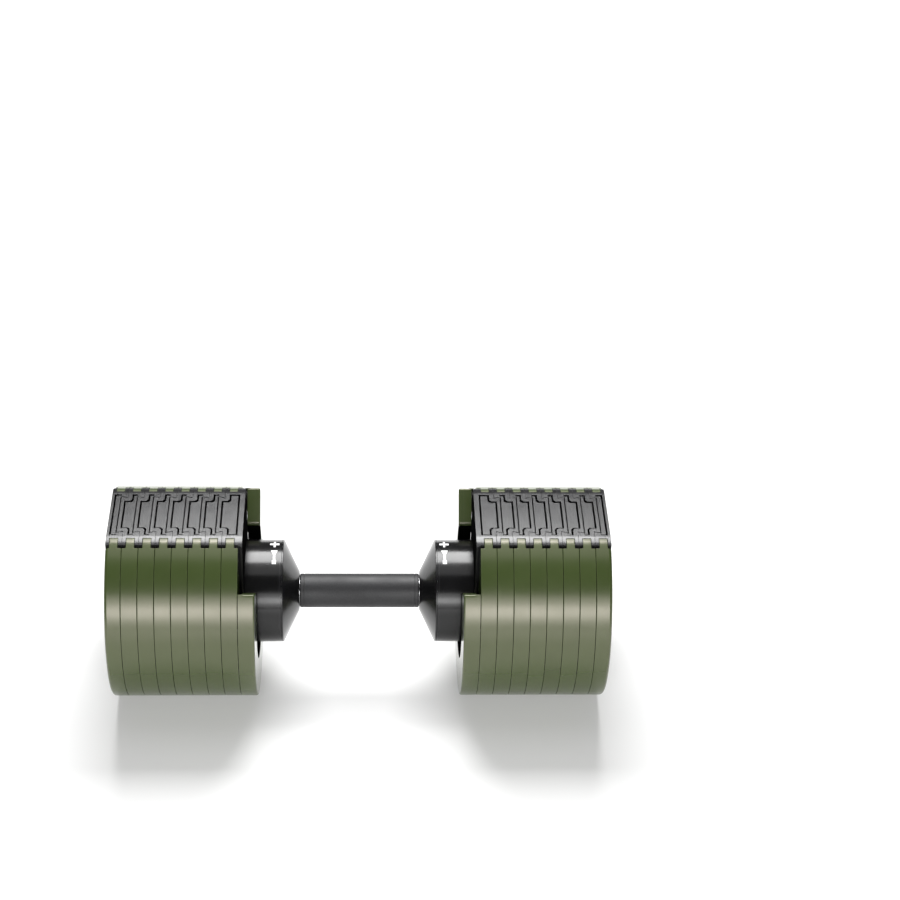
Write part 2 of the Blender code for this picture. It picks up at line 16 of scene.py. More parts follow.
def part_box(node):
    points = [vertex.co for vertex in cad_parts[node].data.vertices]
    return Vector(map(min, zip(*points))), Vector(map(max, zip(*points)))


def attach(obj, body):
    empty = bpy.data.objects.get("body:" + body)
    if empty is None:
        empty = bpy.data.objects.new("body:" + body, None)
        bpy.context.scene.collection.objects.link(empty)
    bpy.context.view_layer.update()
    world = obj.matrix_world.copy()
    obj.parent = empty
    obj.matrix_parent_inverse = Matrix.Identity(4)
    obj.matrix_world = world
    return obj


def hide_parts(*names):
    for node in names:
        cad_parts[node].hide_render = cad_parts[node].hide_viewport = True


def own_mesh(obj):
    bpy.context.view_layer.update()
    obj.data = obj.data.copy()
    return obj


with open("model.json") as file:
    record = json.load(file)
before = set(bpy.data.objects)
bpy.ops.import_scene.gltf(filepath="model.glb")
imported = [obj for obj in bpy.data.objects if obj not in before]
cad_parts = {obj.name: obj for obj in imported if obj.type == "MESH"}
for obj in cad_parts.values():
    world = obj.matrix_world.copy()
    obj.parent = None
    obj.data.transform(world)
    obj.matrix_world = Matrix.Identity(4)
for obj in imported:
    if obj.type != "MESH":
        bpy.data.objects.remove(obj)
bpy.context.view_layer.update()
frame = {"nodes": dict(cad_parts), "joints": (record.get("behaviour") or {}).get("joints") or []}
NODES = frame["nodes"]
SIDES = {"right": 0.0, "left": math.pi}
MM = 0.001

# Places and sizes that the CAD model gives, about the handle's axis.
AXIS_Z = next(j for j in frame["joints"] if j["name"] == "grip_turn")["pos_m"][2]
PLATE_LOW, PLATE_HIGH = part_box("right_weight_plate_1")
NEXT_LOW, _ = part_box("right_weight_plate_2")
PLATE_RADIUS = PLATE_HIGH.y
TOP_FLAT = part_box("right_hook_insert_2")[1].z - AXIS_Z
PLATE_X = PLATE_LOW.x
PLATE_PITCH = NEXT_LOW.x - PLATE_LOW.x
THICKNESS = PLATE_HIGH.x - PLATE_LOW.x
CRESCENT_LOW, CRESCENT_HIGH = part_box("right_crescent_plate")
HOUSING_LOW, HOUSING_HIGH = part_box("right_housing")
CONE_LOW, CONE_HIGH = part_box("right_cone_flange")
_, GRIP_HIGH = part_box("grip_sleeve")
LOCK_LOW, LOCK_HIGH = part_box("right_lock_plunger")
PLATE_COUNT = 8
HOUSING_RADIUS = 43 * MM
GRIP_RADIUS = 14.3 * MM

# Sizes of the visible surfaces.
EDGE_ROUND = 0.4 * MM
END_ROUND = 2.6 * MM
TOP_FILLET = 24 * MM
POCKET_HALF = 40.2 * MM
FLANGE_HALF = 37.6 * MM
WEB_HALF = 31.2 * MM
FLANGE_DEPTH = 3.2 * MM
SLOT_DROP = 12 * MM
TONGUE_REACH = 5.2 * MM
TONGUE_ROOT = 22.0 * MM
TONGUE_TIP = 23.4 * MM
TONGUE_BOTTOM = -26 * MM
TONGUE_SLOPE = (TONGUE_TIP - TONGUE_ROOT) / TONGUE_REACH
TONGUE_OVERLAP = 1.4 * MM
INSERT_GAP = 0.3 * MM
GROOVE_SIDE_GAP = 1.1 * MM
GROOVE_DEPTH = 6.0 * MM
PANEL_DEPTH = 0.5 * MM
PANEL_HALF = 27.0 * MM
PANEL_END = 15.9 * MM
LAST_PANEL_END = 10.9 * MM
PANEL_STEP_HALF = 18.2 * MM
PANEL_STEP_X = 11.4 * MM
PANEL_NECK_X = 9.6 * MM
PANEL_NECK_HALF = 20.2 * MM
MOAT_DEPTH = 4.5 * MM
MOAT_WIDTH = 1.5 * MM
CRESCENT_BORE = 56 * MM
CRESCENT_THICKNESS = 11 * MM
CRESCENT_ROUND = 1.5 * MM
CRESCENT_LIP = 2 * MM
# How far from straight up each arm ends, at the bore and at the rim.
CRESCENT_FRONT_OPENINGS = (math.radians(52.3), math.radians(52.3))
CRESCENT_REAR_OPENINGS = (math.radians(50.5), math.radians(47.0))
RAIL_DEPTH = 3.3 * MM
RAIL_HALF = 38.2 * MM
RAIL_FRONT_HALF = 39.6 * MM
RAIL_BOTTOM = -38 * MM
BORE_RADIUS = 9.3 * MM
BOSS_ANGLES = (math.radians(10), math.radians(-90), math.radians(170))
BOSS_CIRCLE = 72 * MM
BOSS_RADIUS = 5 * MM
HOUSING_WALL = 3.4 * MM
HOUSING_FLOOR = 3.2 * MM
LINE_DEPTH = 0.35 * MM
LOCK_HOLE_RADIUS = 4.3 * MM
LOCK_RADIUS = 4 * MM
LOCK_NOSE_ROUND = 1.2 * MM
LOCK_COLLAR_Z = -38.7 * MM
LOCK_COLLAR_RADIUS = 6.2 * MM
LOCK_COLLAR_HEIGHT = 1.5 * MM
MARK_INSET = 6.1 * MM
PLUS_HALF = 3.9 * MM
PLUS_STROKE_HALF = 0.85 * MM
POINTER_HALF = 2.9 * MM
POINTER_TAPER = 0.33 * MM
POINTER_STEM_HALF = 0.92 * MM
POINTER_FOOT_HALF = 1.7 * MM
PINHOLE_RADIUS = 0.002 * MM
BEYOND = 20 * MM

# The camera stands in front of the handle's middle, then turns away from it by these two angles.
CAMERA_ELEVATION = math.radians(40)
CAMERA_DISTANCE = 1.85
CAMERA_LENS = 87.2
CAMERA_TURN_RIGHT = math.radians(2.374)
CAMERA_TURN_UP = math.radians(3.684)

# Each softbox: degrees from overhead towards the back, distance, width and height, radiance.
LIGHTS = {
    "overhead_softbox": (30, 1.0, (0.70, 0.57), 14),
    "overhead_fill": (-2, 1.3, (1.2, 0.65), 1.0),
    "front_card": (-72.5, 1.5, (1.5, 0.85), 2.5),
    "front_card_core": (-73, 1.49, (1.3, 0.32), 4.9),
}
WORLD_STRENGTH = 0.14
BACKDROP_STRENGTH = 1.0
FLOOR_HALF = 8


# Meshes.


def mesh_of(bm, name="shape"):
    bmesh.ops.recalc_face_normals(bm, faces=bm.faces)
    mesh = bpy.data.meshes.new(name)
    bm.to_mesh(mesh)
    bm.free()
    return mesh


def lofted(rings, closed_loop=False):
    """A closed solid through rings of the same number of points, capped at both ends or joined round."""
    bm = bmesh.new()
    rows = [[bm.verts.new(point) for point in ring] for ring in rings]
    pairs = list(zip(rows, rows[1:]))
    if closed_loop:
        pairs.append((rows[-1], rows[0]))
    else:
        bm.faces.new(rows[0])
        bm.faces.new(rows[-1])
    for first, second in pairs:
        for i in range(len(first)):
            j = (i + 1) % len(first)
            bm.faces.new((first[i], first[j], second[j], second[i]))
    return mesh_of(bm)


def along_x(outline, x0, x1):
    return lofted([[(x, y, z) for y, z in outline] for x in (x0, x1)])


def along_z(outline, z0, z1):
    return lofted([[(x, y, z) for x, y in outline] for z in (z0, z1)])


def arc(radius, start, end, steps, centre=(0.0, 0.0)):
    points = []
    for i in range(steps + 1):
        angle = start + (end - start) * i / steps
        points.append((centre[0] + radius * math.cos(angle), centre[1] + radius * math.sin(angle)))
    return points


def turned(profile, segments, axis="X", offset=0.0):
    """A solid ring turned from a closed profile of (along, radius) points. A 0 radius is made a pinhole."""
    rings = []
    for along, radius in profile:
        ring = []
        for i in range(segments):
            angle = 2 * math.pi * (i + 0.5) / segments
            first = max(radius, PINHOLE_RADIUS) * math.cos(angle)
            second = max(radius, PINHOLE_RADIUS) * math.sin(angle)
            ring.append((along, first, second) if axis == "X" else (offset + first, second, along))
        rings.append(ring)
    return lofted(rings, closed_loop=True)


def evaluated(mesh, add_modifiers):
    """A new mesh, after the modifiers that add_modifiers puts on a helper object."""
    helper = bpy.data.objects.new("helper", mesh)
    bpy.context.scene.collection.objects.link(helper)
    add_modifiers(helper)
    graph = bpy.context.evaluated_depsgraph_get()
    result = bpy.data.meshes.new_from_object(helper.evaluated_get(graph))
    bpy.data.objects.remove(helper)
    return result


def combined(operation, base, others):
    tools = []
    for mesh in others:
        tool = bpy.data.objects.new("tool", mesh)
        bpy.context.scene.collection.objects.link(tool)
        tools.append(tool)

    def add(helper):
        for tool in tools:
            modifier = helper.modifiers.new("boolean", "BOOLEAN")
            modifier.operation = operation
            modifier.solver = "EXACT"
            modifier.object = tool

    result = evaluated(base, add)
    for tool in tools:
        bpy.data.objects.remove(tool)
    return result


def joined(base, *others):
    return combined("UNION", base, others)


def cut(base, *others):
    return combined("DIFFERENCE", base, others)


def softened(mesh, width, segments=2, angle=38):
    """Every edge sharper than angle rounded to width, with broad faces kept flat in the shading."""
    mesh.shade_smooth()

    def add(helper):
        bevel = helper.modifiers.new("round", "BEVEL")
        bevel.width = width
        bevel.segments = segments
        bevel.limit_method = "ANGLE"
        bevel.angle_limit = math.radians(angle)
        bevel.use_clamp_overlap = True
        bevel.miter_outer = "MITER_ARC"
        normals = helper.modifiers.new("normals", "WEIGHTED_NORMAL")
        normals.keep_sharp = True

    return evaluated(mesh, add)


# The plates.


def plate_outline(steps=84):
    corner_y = math.sqrt((PLATE_RADIUS - TOP_FILLET) ** 2 - (TOP_FLAT - TOP_FILLET) ** 2)
    corner_z = TOP_FLAT - TOP_FILLET
    blend = math.atan2(corner_z, corner_y)
    foot = math.asin(AXIS_Z / PLATE_RADIUS)
    right = arc(PLATE_RADIUS, -foot, blend, steps)
    right += arc(TOP_FILLET, blend, math.pi / 2, 12, (corner_y, corner_z))[1:]
    return right + [(-y, z) for y, z in reversed(right)]


def shrunk(outline, inset):
    scale = 1 - inset / PLATE_RADIUS
    return [(y * scale, z * scale) for y, z in outline]


def slot_outline(half_width):
    top = PLATE_RADIUS + BEYOND
    bottom = arc(half_width, math.pi, 2 * math.pi, 32, (0.0, -SLOT_DROP))
    return bottom + [(half_width, top), (-half_width, top)]


def edge_rounds(start, end, first_round, last_round, steps=4):
    """(x, inset) pairs for a slab from start to end with a quarter round at each rim."""
    pairs = []
    for i in range(steps + 1):
        angle = math.pi / 2 * i / steps
        pairs.append((start + first_round * (1 - math.cos(angle)), first_round * (1 - math.sin(angle))))
    for i in reversed(range(steps + 1)):
        angle = math.pi / 2 * i / steps
        pairs.append((end - last_round * (1 - math.cos(angle)), last_round * (1 - math.sin(angle))))
    return pairs


def rounded_disc(outer_round):
    """The plate's full thickness, with a quarter round at each rim."""
    outline = plate_outline()
    rings = []
    for x, inset in edge_rounds(0.0, THICKNESS, EDGE_ROUND, outer_round):
        rings.append([(x, y, z) for y, z in shrunk(outline, inset)])
    return lofted(rings)


def plate_mesh(outer_round):
    pocket = slot_outline(POCKET_HALF)
    shape = cut(
        rounded_disc(outer_round),
        along_x(pocket, -BEYOND, FLANGE_DEPTH),
        along_x(pocket, THICKNESS - FLANGE_DEPTH, THICKNESS + BEYOND),
        along_x(slot_outline(WEB_HALF), -BEYOND, THICKNESS + BEYOND),
    )
    return softened(shape, 0.35 * MM)


# The hook inserts. Their plan is in (x, y): x from the plate's inner face, y across the flat.


def mirrored(path):
    """A closed outline from the front half of one, listed from the middle line outwards."""
    return [(x, -y) for x, y in path] + [(x, y) for x, y in reversed(path)]


def panel_path(kind, inset):
    """The panel's edge from the middle of its outer side to the groove, moved in by inset."""
    start = 0.9 * MM if kind == "first" else GROOVE_DEPTH - 1.0 * MM
    if kind == "last":
        outer = LAST_PANEL_END - inset
        return start, [(outer, 0.0), (outer, PANEL_HALF - inset)]
    outer = PANEL_END - inset
    step = PANEL_STEP_HALF - inset
    neck = PANEL_NECK_X - inset
    return start, [
        (outer, 0.0),
        (outer, step),
        (PANEL_STEP_X - inset, step),
        (neck, PANEL_NECK_HALF - inset),
        (neck, PANEL_HALF - inset),
    ]


def panel_tools(kind):
    """The shallow panel and the deeper line round it, as tools that cut down from above the flat."""
    top = PLATE_RADIUS + BEYOND
    start, edge = panel_path(kind, 0.0)
    _, inner = panel_path(kind, MOAT_WIDTH)
    end_y = edge[-1][1]
    panel = along_z(mirrored(edge + [(start, end_y)]), TOP_FLAT - PANEL_DEPTH, top)
    moat = [(start, -end_y), *[(x, -y) for x, y in reversed(edge[1:])], *edge[1:], (start, end_y)]
    inner_end = inner[-1][1]
    way_back = [*reversed(inner[1:]), *[(x, -y) for x, y in inner[1:]]]
    if kind == "first":
        back = start + MOAT_WIDTH
        hole = along_z([(back, inner_end), *way_back, (back, -inner_end)], 0, top + BEYOND)
        return panel, cut(along_z(moat, TOP_FLAT - MOAT_DEPTH, top), hole)
    moat += [(start, inner_end), *way_back, (start, -inner_end)]
    return panel, along_z(moat, TOP_FLAT - MOAT_DEPTH, top)


def insert_mesh(kind):
    top = PLATE_RADIUS + BEYOND
    depth = FLANGE_DEPTH - INSERT_GAP
    flange = slot_outline(FLANGE_HALF)
    parts = [
        along_x(flange, 0, depth),
        along_x(flange, THICKNESS - depth, THICKNESS),
    ]
    web = along_x(slot_outline(WEB_HALF - INSERT_GAP), depth / 2, THICKNESS - depth / 2)
    if kind != "last":
        tongue = [
            (THICKNESS - TONGUE_OVERLAP, TONGUE_ROOT - TONGUE_SLOPE * TONGUE_OVERLAP),
            (THICKNESS + TONGUE_REACH, TONGUE_TIP),
        ]
        parts.append(along_z(mirrored(list(reversed(tongue))), TONGUE_BOTTOM, top))
    if kind == "first":
        rail = [(-INSERT_GAP, RAIL_HALF), (-RAIL_DEPTH, RAIL_FRONT_HALF)]
        parts.append(along_z(mirrored(rail), RAIL_BOTTOM, top))
        parts.append(along_x(flange, -RAIL_DEPTH / 2, depth / 2))
    shape = joined(web, *parts)
    shape = combined("INTERSECT", shape, [along_x(plate_outline(), -BEYOND, THICKNESS + BEYOND)])
    tools = list(panel_tools(kind))
    if kind != "first":
        mouth = TONGUE_ROOT + GROOVE_SIDE_GAP
        groove = [(GROOVE_DEPTH, TONGUE_TIP + GROOVE_SIDE_GAP), (-BEYOND, mouth - TONGUE_SLOPE * BEYOND)]
        tools.append(along_z(mirrored(groove), TONGUE_BOTTOM - 0.5 * MM, top))
    bore_end = THICKNESS - depth if kind == "last" else THICKNESS + BEYOND
    half = math.pi / 2
    tools.append(along_x(arc(BORE_RADIUS, -half, half, 24), -BEYOND, bore_end))
    return softened(cut(shape, *tools), 0.28 * MM)


def crescent_arm(inner, outer, inset, corners, openings):
    """Half of the crescent's outline as (y, z), from the bottom out along +Y. Pairs are inner, outer."""
    low = inner + inset
    high = outer - inset
    low_sweep = math.pi - openings[0] - inset / high
    high_sweep = math.pi - openings[1] - inset / high
    low_turn = corners[0] / low
    high_turn = corners[1] / high
    quarter = [math.pi / 2 * i / 6 for i in range(7)]
    polar = [(high, (high_sweep - high_turn) * i / 75) for i in range(75)]
    for t in reversed(quarter):
        polar.append((high - corners[1] * (1 - math.sin(t)), high_sweep - high_turn * (1 - math.cos(t))))
    for t in quarter:
        polar.append((low + corners[0] * (1 - math.sin(t)), low_sweep - low_turn * (1 - math.cos(t))))
    polar += [(low, (low_sweep - low_turn) * i / 55) for i in reversed(range(55))]
    return [(radius * math.sin(angle), -radius * math.cos(angle)) for radius, angle in polar]


def crescent_outline(inner, outer, inset, corners, rear):
    """A ring open at the top, whose arm towards rear (+1 or -1 along Y) reaches further up."""
    long_arm = crescent_arm(inner, outer, inset, corners, CRESCENT_REAR_OPENINGS)
    short_arm = crescent_arm(inner, outer, inset, corners, CRESCENT_FRONT_OPENINGS)
    outline = long_arm + [(-y, z) for y, z in reversed(short_arm[1:-1])]
    return [(rear * y, z) for y, z in outline]


def crescent_mesh(rear):
    """A C-shaped plate, open at the top, with a thin rim and three bosses that reach to the first plate."""
    start = CRESCENT_LOW.x
    body_end = start + CRESCENT_THICKNESS
    rings = []
    for x, inset in edge_rounds(start, body_end, CRESCENT_ROUND, EDGE_ROUND):
        corners = (4 * MM - inset, 2 * MM - inset)
        outline = crescent_outline(CRESCENT_BORE, PLATE_RADIUS, inset, corners, rear)
        rings.append([(x, y, z) for y, z in outline])
    lip_corners = (0.5 * MM, 0.5 * MM)
    lip = crescent_outline(PLATE_RADIUS - CRESCENT_LIP, PLATE_RADIUS, 0.0, lip_corners, rear)
    pieces = [along_x(lip, body_end - CRESCENT_LIP, CRESCENT_HIGH.x)]
    for angle in BOSS_ANGLES:
        centre = (BOSS_CIRCLE * math.cos(angle), BOSS_CIRCLE * math.sin(angle))
        boss = arc(BOSS_RADIUS, 0, 2 * math.pi, 40, centre)[:-1]
        pieces.append(along_x(boss, body_end - CRESCENT_LIP, CRESCENT_HIGH.x))
    side = 2 * PLATE_RADIUS
    below = along_x([(-side, -side), (side, -side), (side, -AXIS_Z), (-side, -AXIS_Z)], 0, side)
    return softened(cut(joined(lofted(rings), *pieces), below), 0.3 * MM)


# The housings, collars and grip.


def housing_mesh():
    """A barrel with a fine line round its inner end, a dovetail channel and a hole for the lock."""
    radius = HOUSING_RADIUS
    wall = HOUSING_WALL
    start = HOUSING_LOW.x
    end = HOUSING_HIGH.x
    barrel = turned(
        [
            (start, radius - wall),
            (start, radius),
            (start + 1.1 * MM, radius),
            (start + 1.1 * MM, radius - LINE_DEPTH),
            (start + 1.5 * MM, radius - LINE_DEPTH),
            (start + 1.5 * MM, radius),
            (end, radius),
            (end, radius - wall),
        ],
        192,
    )
    floor = end - HOUSING_FLOOR
    channel = [
        (floor, -39.9 * MM),
        (end + BEYOND, -30.6 * MM),
        (end + BEYOND, 30.6 * MM),
        (floor, 39.9 * MM),
    ]
    lock_x = (LOCK_LOW.x + LOCK_HIGH.x) / 2
    below = -60 * MM
    inside = -30 * MM
    hole_profile = [(below, 0), (below, LOCK_HOLE_RADIUS), (inside, LOCK_HOLE_RADIUS), (inside, 0)]
    hole = turned(hole_profile, 48, "Z", lock_x)
    return softened(cut(barrel, along_z(channel, below, -below), hole), 0.3 * MM)


def cone_mesh():
    """A hollow cone with a short straight rim at the housing and a sleeve that holds the bush."""
    start = CONE_LOW.x
    end = CONE_HIGH.x
    profile = [
        (start, 12.9 * MM),
        (start, 16.2 * MM),
        (start + 0.15 * MM, 16.55 * MM),
        (start + 0.6 * MM, 17.4 * MM),
        (end - 1.5 * MM, 42.2 * MM),
        (end - 1.1 * MM, 42.8 * MM),
        (end - 0.6 * MM, 43.0 * MM),
        (end, 43.0 * MM),
        (end, 39.8 * MM),
        (end - 8.3 * MM, 20.2 * MM),
        (end - 8.3 * MM, 18.4 * MM),
        (end - 2.1 * MM, 18.4 * MM),
        (end - 2.1 * MM, 15.3 * MM),
        (start + 1.8 * MM, 15.3 * MM),
        (start + 1.8 * MM, 12.9 * MM),
    ]
    mesh = turned(profile, 192)
    mesh.shade_smooth()
    mesh.set_sharp_from_angle(angle=math.radians(32))
    return mesh


def grip_mesh():
    """The sleeve, with a narrow smooth ring and a shallow groove near each end."""
    half = GRIP_HIGH.x
    radius = GRIP_RADIUS
    ends = [
        (half, radius - 1.0 * MM),
        (half - 0.25 * MM, radius - 0.4 * MM),
        (half - 0.8 * MM, radius - 0.08 * MM),
        (half - 1.4 * MM, radius),
        (half - 3.2 * MM, radius),
        (half - 3.35 * MM, radius - 0.3 * MM),
        (half - 3.75 * MM, radius - 0.3 * MM),
        (half - 3.9 * MM, radius),
    ]
    profile = [(half, 12.5 * MM)] + ends + [(-x, r) for x, r in reversed(ends)] + [(-half, 12.5 * MM)]
    mesh = turned(profile, 128)
    mesh.shade_smooth()
    mesh.set_sharp_from_angle(angle=math.radians(40))
    return mesh


def lock_plunger_mesh():
    """A round pin that stands upright, with a rounded nose below and a collar for its spring."""
    low = LOCK_LOW.z - AXIS_Z
    high = LOCK_HIGH.z - AXIS_Z
    radius = LOCK_RADIUS
    profile = [(low, 0)]
    for i in range(7):
        angle = math.pi / 2 * i / 6
        along = low + LOCK_NOSE_ROUND * (1 - math.cos(angle))
        profile.append((along, radius - LOCK_NOSE_ROUND * (1 - math.sin(angle))))
    profile += [
        (LOCK_COLLAR_Z, radius),
        (LOCK_COLLAR_Z, LOCK_COLLAR_RADIUS),
        (LOCK_COLLAR_Z + LOCK_COLLAR_HEIGHT, LOCK_COLLAR_RADIUS),
        (LOCK_COLLAR_Z + LOCK_COLLAR_HEIGHT, radius),
        (high, radius),
        (high, 0),
    ]
    mesh = turned(profile, 48, "Z", (LOCK_LOW.x + LOCK_HIGH.x) / 2)
    mesh.shade_smooth()
    mesh.set_sharp_from_angle(angle=math.radians(35))
    return mesh


def mark_mesh(x, rows):
    """A painted mark wrapped on the housing. rows are (degrees from the top towards -Y, half width)."""
    low = HOUSING_RADIUS - 0.05 * MM
    high = HOUSING_RADIUS + 0.05 * MM
    bm = bmesh.new()
    loops = []
    for degrees, half in rows:
        angle = math.radians(degrees)
        loop = []
        for radius, across in ((low, -half), (low, half), (high, half), (high, -half)):
            place = (x + across, -radius * math.sin(angle), radius * math.cos(angle))
            loop.append(bm.verts.new(place))
        loops.append(loop)
    bm.faces.new(loops[0])
    bm.faces.new(loops[-1])
    for first, second in zip(loops, loops[1:]):
        for i in range(4):
            j = (i + 1) % 4
            bm.faces.new((first[i], first[j], second[j], second[i]))
    return mesh_of(bm)


def steps_between(start, end, half, count):
    """Rows of one half width, in count equal steps from start to end in degrees."""
    return [(start + (end - start) * i / count, half) for i in range(count + 1)]


# Materials.


class Nodes:
    """A material's node tree, with short names for what the finishes below use."""

    def __init__(self, name):
        self.material = bpy.data.materials.new(name)
        self.material.use_nodes = True
        self.tree = self.material.node_tree
        self.shader = self.tree.nodes["Principled BSDF"]
        offset = self.add("ShaderNodeVectorMath", operation="ADD")
        self.link(self.add("ShaderNodeTexCoord").outputs["Object"], offset.inputs[0])
        self.link(self.add("ShaderNodeObjectInfo").outputs["Random"], offset.inputs[1])
        self.place = offset.outputs["Vector"]

    def add(self, kind, **values):
        node = self.tree.nodes.new(kind)
        for key, value in values.items():
            if hasattr(node, key):
                setattr(node, key, value)
            else:
                node.inputs[key].default_value = value
        return node

    def link(self, source, target):
        self.tree.links.new(source, target)

    def noise(self, scale, detail=2.0, stretch=(1, 1, 1)):
        mapping = self.add("ShaderNodeMapping")
        mapping.inputs["Scale"].default_value = stretch
        self.link(self.place, mapping.inputs["Vector"])
        node = self.add("ShaderNodeTexNoise")
        node.inputs["Scale"].default_value = scale
        node.inputs["Detail"].default_value = detail
        self.link(mapping.outputs["Vector"], node.inputs["Vector"])
        return node.outputs["Fac"]

    def ranged(self, source, low, high, source_low=0.3, source_high=0.7):
        node = self.add("ShaderNodeMapRange")
        node.inputs["From Min"].default_value = source_low
        node.inputs["From Max"].default_value = source_high
        node.inputs["To Min"].default_value = low
        node.inputs["To Max"].default_value = high
        self.link(source, node.inputs["Value"])
        return node.outputs["Result"]

    def mixed(self, fac, first, second):
        node = self.add("ShaderNodeMix", data_type="RGBA")
        self.link(fac, node.inputs["Factor"])
        colours = [s for s in node.inputs if s.type == "RGBA"]
        for value, socket in ((first, colours[0]), (second, colours[1])):
            if isinstance(value, tuple):
                socket.default_value = (*value, 1.0)
            else:
                self.link(value, socket)
        return [s for s in node.outputs if s.type == "RGBA"][0]

    def edges(self, radius, low, high):
        """A mask that is 1 on outer edges, from how far a rounded normal turns from the true one."""
        bevel = self.add("ShaderNodeBevel", samples=4)
        bevel.inputs["Radius"].default_value = radius
        geometry = self.add("ShaderNodeNewGeometry")
        dot = self.add("ShaderNodeVectorMath", operation="DOT_PRODUCT")
        self.link(bevel.outputs["Normal"], dot.inputs[0])
        self.link(geometry.outputs["Normal"], dot.inputs[1])
        return self.ranged(dot.outputs["Value"], 1.0, 0.0, low, high)

    def bump(self, height, strength, distance):
        node = self.add("ShaderNodeBump")
        node.inputs["Strength"].default_value = strength
        node.inputs["Distance"].default_value = distance
        self.link(height, node.inputs["Height"])
        self.link(node.outputs["Normal"], self.shader.inputs["Normal"])

    def base(self, colour, roughness):
        self.link(colour, self.shader.inputs["Base Color"])
        self.link(roughness, self.shader.inputs["Roughness"])

    def fixed(self, **values):
        for key, value in values.items():
            self.shader.inputs[key.replace("_", " ")].default_value = value


def green_paint():
    """Satin olive paint: a fine grain, faint clouds, edges painted paler in patches as a painted highlight,
    rough top flats, smooth sides.
    """
    n = Nodes("olive_satin_paint")
    cloud = n.ranged(n.noise(18, 3), 0.0, 1.0)
    grain = n.noise(2600, 2)
    colour = n.mixed(cloud, (0.034, 0.054, 0.011), (0.041, 0.063, 0.015))
    # Paler edges in patches: a painted highlight.
    highlight_patches = n.ranged(n.noise(160, 4), 0.15, 0.75, 0.35, 0.65)
    edge = n.add("ShaderNodeMath", operation="MULTIPLY")
    n.link(n.edges(0.5 * MM, 0.90, 0.995), edge.inputs[0])
    n.link(highlight_patches, edge.inputs[1])
    colour = n.mixed(edge.outputs[0], colour, (0.15, 0.18, 0.10))
    normal = n.add("ShaderNodeSeparateXYZ")
    n.link(n.add("ShaderNodeTexCoord").outputs["Normal"], normal.inputs[0])
    upward = n.ranged(normal.outputs["Z"], 0.0, 0.3, 0.96, 0.99)
    sideways = n.add("ShaderNodeMath", operation="ABSOLUTE")
    n.link(normal.outputs["X"], sideways.inputs[0])
    smoother = n.ranged(sideways.outputs[0], 0.0, -0.16, 0.96, 0.99)
    roughness = n.ranged(n.noise(70, 3), 0.23, 0.27)
    for change in (upward, smoother):
        total = n.add("ShaderNodeMath", operation="ADD")
        n.link(roughness, total.inputs[0])
        n.link(change, total.inputs[1])
        roughness = total.outputs[0]
    n.base(colour, roughness)
    n.bump(grain, 0.12, 0.00004)
    n.fixed(Specular_IOR_Level=0.95, Specular_Tint=(1.0, 0.91, 0.82, 1.0))
    return n.material


def insert_nylon():
    """Gray glass-filled nylon: a fine moulded grain with drag lines along the dovetail, and a painted
    highlight that makes its edges paler.
    """
    n = Nodes("gray_grained_nylon")
    cloud = n.ranged(n.noise(40, 4, (1, 0.3, 0.3)), 0.0, 1.0)
    colour = n.mixed(cloud, (0.011, 0.011, 0.012), (0.017, 0.017, 0.018))
    rubbed = n.ranged(n.noise(260, 3, (1, 0.08, 0.08)), 0.0, 0.5, 0.45, 0.7)
    colour = n.mixed(rubbed, colour, (0.028, 0.028, 0.029))
    # Paler edges: a painted highlight.
    colour = n.mixed(n.edges(0.35 * MM, 0.88, 0.99), colour, (0.07, 0.07, 0.072))
    n.base(colour, n.ranged(n.noise(120, 3), 0.18, 0.23))
    n.bump(n.noise(2200, 3), 0.3, 0.00006)
    n.fixed(Specular_IOR_Level=0.5)
    return n.material


def shell_nylon():
    """Satin black moulding with a very fine spark texture, and a painted highlight that makes its edges
    paler.
    """
    n = Nodes("satin_black_shell")
    cloud = n.ranged(n.noise(30, 3), 0.0, 1.0)
    colour = n.mixed(cloud, (0.001, 0.001, 0.0012), (0.003, 0.003, 0.0035))
    # Paler edges: a painted highlight.
    colour = n.mixed(n.edges(0.4 * MM, 0.9, 0.995), colour, (0.02, 0.02, 0.022))
    n.base(colour, n.ranged(n.noise(90, 4), 0.17, 0.22))
    n.bump(n.noise(3000, 2), 0.15, 0.00003)
    n.fixed(Specular_IOR_Level=0.45)
    return n.material


def painted_shade_lining():
    """Matt black painted shade, with a fine grain, for the crescent's bore, the rail's inner face and the
    line round each panel.
    """
    n = Nodes("dull_black_lining")
    shade_grain = n.noise(1400, 3, (1, 0.3, 0.3))
    colour = n.mixed(n.ranged(shade_grain, 0.0, 1.0), (0.002, 0.002, 0.002), (0.005, 0.005, 0.005))
    n.base(colour, n.ranged(shade_grain, 0.85, 0.95))
    n.bump(shade_grain, 0.3, 0.00008)
    n.fixed(Specular_IOR_Level=0.0)
    return n.material


def grip_coating():
    """Matt dark gray coating with a pebbled, non-slip grain and polished high spots."""
    n = Nodes("pebbled_grip_coating")
    pebbles = n.noise(900, 3)
    colour = n.mixed(n.ranged(pebbles, 0.0, 1.0), (0.007, 0.007, 0.008), (0.017, 0.017, 0.019))
    n.base(colour, n.ranged(n.noise(45, 3), 0.50, 0.62))
    n.bump(pebbles, 0.5, 0.0001)
    n.fixed(Specular_IOR_Level=0.5)
    return n.material


def metal(name, dark, light, roughness, stretch):
    """Machined or drawn metal, with fine lines along or round it and a few duller patches."""
    n = Nodes(name)
    lines = n.noise(900, 3, stretch)
    n.base(
        n.mixed(n.ranged(n.noise(60, 3), 0.0, 1.0), dark, light),
        n.ranged(lines, roughness - 0.08, roughness + 0.1),
    )
    n.bump(lines, 0.15, 0.00003)
    n.fixed(Metallic=1.0)
    return n.material


def mark_paint():
    """White printed paint with a faint speckle."""
    n = Nodes("white_mark_paint")
    speck = n.ranged(n.noise(1500, 3), 0.0, 1.0)
    n.base(n.mixed(speck, (0.80, 0.80, 0.80), (0.90, 0.90, 0.90)), n.ranged(speck, 0.4, 0.5))
    n.bump(speck, 0.1, 0.00002)
    return n.material


